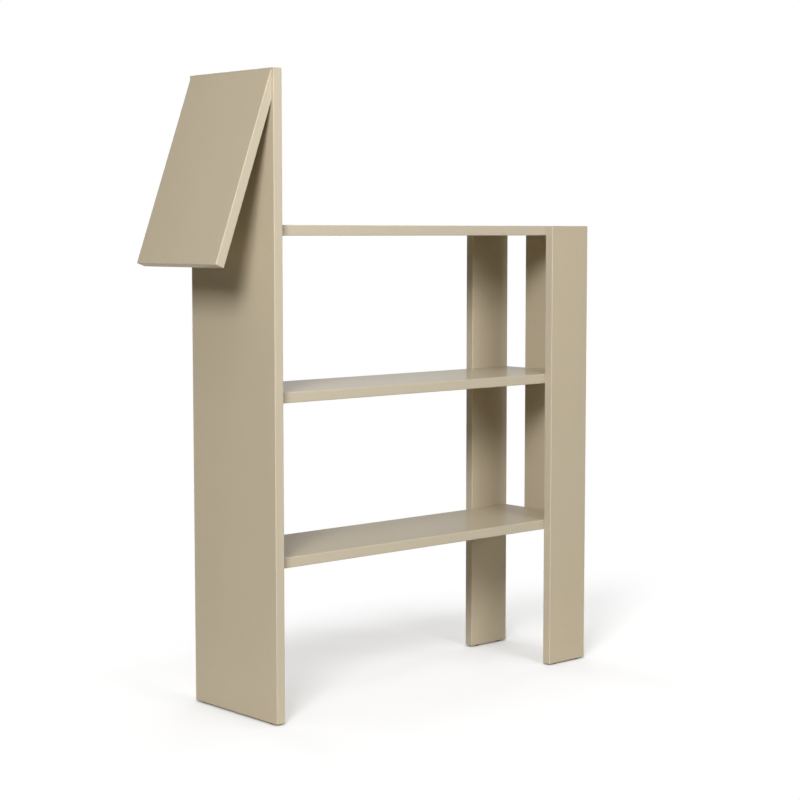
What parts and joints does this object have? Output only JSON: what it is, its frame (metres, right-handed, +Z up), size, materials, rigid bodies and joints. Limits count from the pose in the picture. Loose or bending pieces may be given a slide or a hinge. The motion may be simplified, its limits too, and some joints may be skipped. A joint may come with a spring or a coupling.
{
  "type": "bookcase",
  "caption": "Free-standing open bookcase in lacquered board: fixed shelves between a tall neck panel with a slanting head panel at one end and narrow legs with a tail board at the other.",
  "frame": {"origin": "on the floor, in the middle of the whole bookcase's length and depth", "axes": "+Z up, +X along the shelves from the head to the tail, +Y from the front to the back"},
  "size_m": [0.8996, 0.233, 1.1],
  "materials": {
    "lacquer": "medium-density fibreboard, satin lacquer in a warm beige",
    "cap_plastic": "moulded cap in the lacquer's colour",
    "zinc": "die-cast zinc",
    "steel": "zinc-plated steel",
    "beech": "turned beech",
    "glide_plastic": "moulded dark plastic"
  },
  "bodies": {
    "root": {"neck_panel": "lacquer", "head_panel": "lacquer", "top_shelf": "lacquer", "middle_shelf": "lacquer", "bottom_shelf": "lacquer", "front_leg": "lacquer", "back_leg": "lacquer", "tail_board": "lacquer", "top_shelf_cams": "zinc", "middle_shelf_cams": "zinc", "bottom_shelf_cams": "zinc", "top_shelf_cam_caps": "cap_plastic", "middle_shelf_cam_caps": "cap_plastic", "bottom_shelf_cam_caps": "cap_plastic", "head_screw_caps": "cap_plastic", "neck_cam_bolts": "steel", "front_leg_cam_bolts": "steel", "back_leg_cam_bolts": "steel", "tail_cam_bolts": "steel", "head_screws": "steel", "neck_dowels": "beech", "front_leg_dowels": "beech", "back_leg_dowels": "beech", "tail_dowels": "beech", "head_dowels": "beech", "neck_glides": "glide_plastic", "front_leg_glides": "glide_plastic", "back_leg_glides": "glide_plastic"}
  },
  "joints": []
}
